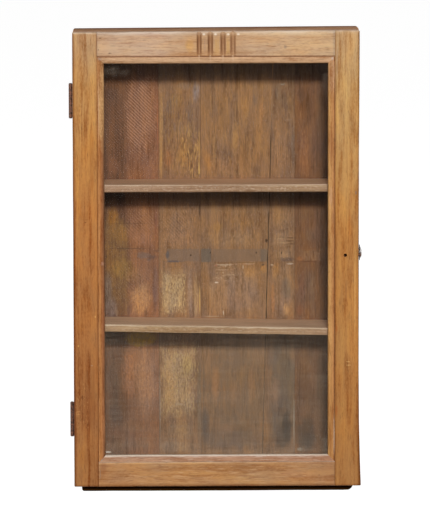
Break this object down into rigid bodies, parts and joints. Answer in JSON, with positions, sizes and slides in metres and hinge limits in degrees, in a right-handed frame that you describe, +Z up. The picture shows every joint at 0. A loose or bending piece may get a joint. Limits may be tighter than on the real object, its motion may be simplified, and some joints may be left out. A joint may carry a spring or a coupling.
{
  "type": "wall cabinet",
  "caption": "Hanging wall cabinet with a glazed framed door on butt hinges, a fluted top rail, shelves on cleats, a back of upright planks and an iron side hook.",
  "frame": {"origin": "middle of the line between the wall screw holes, on the wall plane", "axes": "+Z up, +Y into the wall, the door faces -Y and +X is to the right seen from the front"},
  "size_m": [0.5487, 0.1735, 0.868],
  "materials": {
    "frame_wood": "worn wax",
    "bead_wood": "dusty wax",
    "case_wood": "worn wax",
    "shelf_wood": "bare, worn",
    "back_wood": "bare, aged",
    "iron": "dark patina",
    "glass": "old sheet glass, dusty"
  },
  "bodies": {
    "carcass": {"side_left": "case_wood", "side_right": "case_wood", "top_board": "case_wood", "bottom_board": "case_wood", "base_board": "case_wood", "hanging_rail": "case_wood", "cleat_upper_left": "case_wood", "cleat_upper_right": "case_wood", "cleat_lower_left": "case_wood", "cleat_lower_right": "case_wood", "back_plank_1": "back_wood", "back_plank_2": "back_wood", "back_plank_3": "back_wood", "back_plank_4": "back_wood", "back_plank_5": "back_wood", "shelf_upper": "shelf_wood", "shelf_lower": "shelf_wood", "back_nails": "iron", "carcass_nails": "iron", "base_nails": "iron", "cleat_nails": "iron", "hinge_leaf_carcass_upper": "iron", "hinge_leaf_carcass_lower": "iron", "hinge_pin_upper": "iron", "hinge_pin_lower": "iron", "hinge_screws_carcass": "iron", "hook_pivot": "iron", "hook_washer": "iron", "hook_rove": "iron"},
    "door": {"stile_left": "frame_wood", "stile_right": "frame_wood", "rail_top": "frame_wood", "rail_bottom": "frame_wood", "frame_pegs": "frame_wood", "bead_left": "bead_wood", "bead_right": "bead_wood", "bead_top": "bead_wood", "bead_bottom": "bead_wood", "glass_pane": "glass", "bead_pins": "iron", "hinge_leaf_door_upper": "iron", "hinge_leaf_door_lower": "iron", "hinge_screws_door": "iron", "catch_pin": "iron"},
    "hook": {"side_hook": "iron"}
  },
  "joints": [
    {"name": "door_hinge", "type": "hinge", "parent": "carcass", "child": "door", "pos_m": [-0.2713, -0.15075, -0.3895], "axis": [0, 0, -1], "range_deg": [0, 175]},
    {"name": "hook_turn", "type": "hinge", "parent": "carcass", "child": "hook", "pos_m": [0.26885, -0.118, -0.3825], "axis": [1, 0, 0], "range_deg": [-90, 180]}
  ]
}
